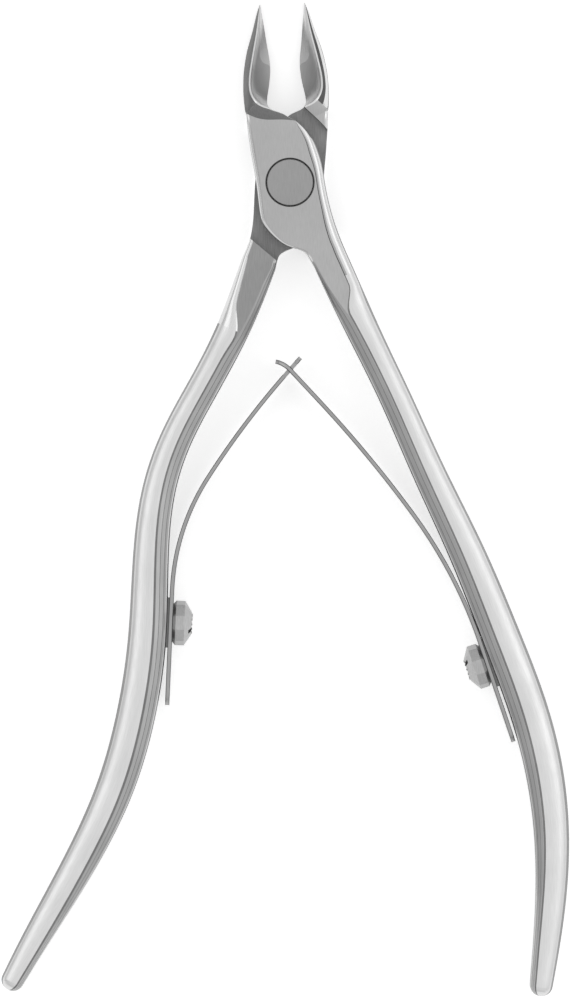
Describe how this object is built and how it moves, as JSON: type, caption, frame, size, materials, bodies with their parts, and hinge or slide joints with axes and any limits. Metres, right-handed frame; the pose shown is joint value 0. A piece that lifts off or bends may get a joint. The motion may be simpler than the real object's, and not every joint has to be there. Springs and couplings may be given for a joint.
{
  "type": "cuticle nipper",
  "caption": "Steel cuticle nipper: crossed levers on a lap joint with pointed cutting jaws, long curved handles and hooked leaf springs that open them.",
  "frame": {"origin": "on the pivot axis, in the plane of the rear half's flat back, which the nipper lies on", "axes": "+Z along the pivot axis from back to front, +Y from the pivot towards the jaws, +X towards the handle of the front half"},
  "size_m": [0.0681, 0.1194, 0.006],
  "materials": {
    "forged_steel": "satin ground, with polished edges",
    "screw_steel": "turned and satin ground",
    "spring_steel": "rolled strip"
  },
  "bodies": {
    "front": {"front_half": "forged_steel", "front_spring_screw": "screw_steel"},
    "rear": {"rear_half": "forged_steel", "joint_screw": "screw_steel", "rear_spring_screw": "screw_steel"},
    "front_leaf": {"front_leaf_spring": "spring_steel"},
    "rear_leaf": {"rear_leaf_spring": "spring_steel"}
  },
  "joints": [
    {"name": "jaw_pivot", "type": "hinge", "parent": "front", "child": "rear", "pos_m": [0, 0, 0], "axis": [0, 0, 1], "range_deg": [0, 13.7], "stiffness_Nm_per_rad": 2, "deforming": ["front_leaf_spring", "rear_leaf_spring"]},
    {"name": "front_leaf_flex", "type": "hinge", "parent": "front", "child": "front_leaf", "pos_m": [0.018, -0.0448, 0.00275], "axis": [0, 0, 1], "range_deg": [-5.5, 0], "deforming": ["front_leaf_spring"]},
    {"name": "rear_leaf_flex", "type": "hinge", "parent": "rear", "child": "rear_leaf", "pos_m": [-0.0134, -0.0435, 0.00275], "axis": [0, 0, 1], "range_deg": [0, 8], "deforming": ["rear_leaf_spring"]}
  ],
  "couplings": [
    {"joint": "front_leaf_flex", "follows": "jaw_pivot", "ratio": -0.385},
    {"joint": "rear_leaf_flex", "follows": "jaw_pivot", "ratio": 0.567}
  ]
}
